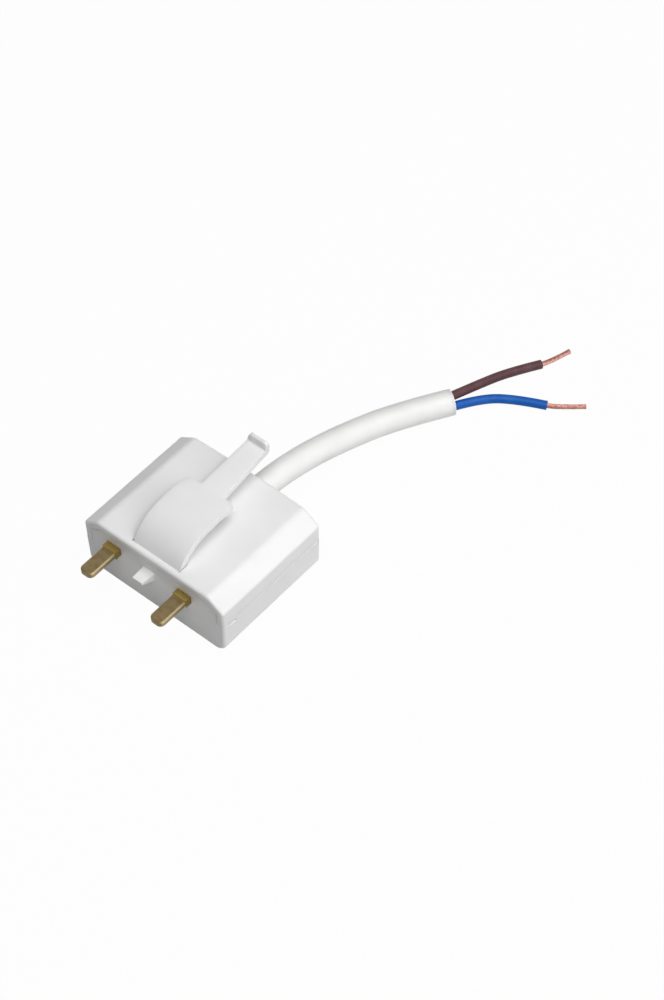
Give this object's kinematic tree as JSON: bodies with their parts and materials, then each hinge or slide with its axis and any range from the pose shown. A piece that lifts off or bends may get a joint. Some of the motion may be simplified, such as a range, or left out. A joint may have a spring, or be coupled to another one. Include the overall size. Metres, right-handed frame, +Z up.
{
  "type": "ceiling light connector",
  "caption": "White ceiling lamp plug with flat brass blades and a key peg in front, a curved release latch on top and a short round flex whose brown and blue cores end in bare copper.",
  "frame": {"origin": "middle of the flat base, halfway between the front face and the rear corners", "axes": "+Z up from the base through the latch, -Y the way the blades point, +Y the way the flex leaves, X across the body"},
  "size_m": [0.0615, 0.1321, 0.0259],
  "materials": {
    "housing": "smooth white thermoplastic with a soft sheen",
    "latch": "smooth white thermoplastic with a soft sheen",
    "contacts": "dull brass, a little darkened, paler on the edges",
    "screws": "zinc-plated steel",
    "clamp": "plain white plastic",
    "sheath": "smooth white flexible vinyl",
    "brown_insulation": "dark brown vinyl",
    "blue_insulation": "blue vinyl",
    "bare_copper": "fine bare copper strands, lightly twisted"
  },
  "bodies": {
    "housing": {"lower_shell": "housing", "upper_shell": "housing", "left_contact": "contacts", "right_contact": "contacts", "left_terminal_screw": "screws", "right_terminal_screw": "screws", "cord_clamp": "clamp", "cord_clamp_screws": "screws", "housing_screws": "screws", "flex_sheath": "sheath", "brown_core": "brown_insulation", "blue_core": "blue_insulation", "brown_strands": "bare_copper", "blue_strands": "bare_copper", "brown_core_tail": "brown_insulation", "blue_core_tail": "blue_insulation", "brown_strands_tail": "bare_copper", "blue_strands_tail": "bare_copper"},
    "latch": {"release_latch": "latch"}
  },
  "joints": [
    {"name": "latch_press", "type": "hinge", "parent": "housing", "child": "latch", "pos_m": [0, -0.01449, 0.01665], "axis": [-1, 0, 0], "range_deg": [0, 8], "stiffness_Nm_per_rad": 0.9}
  ]
}
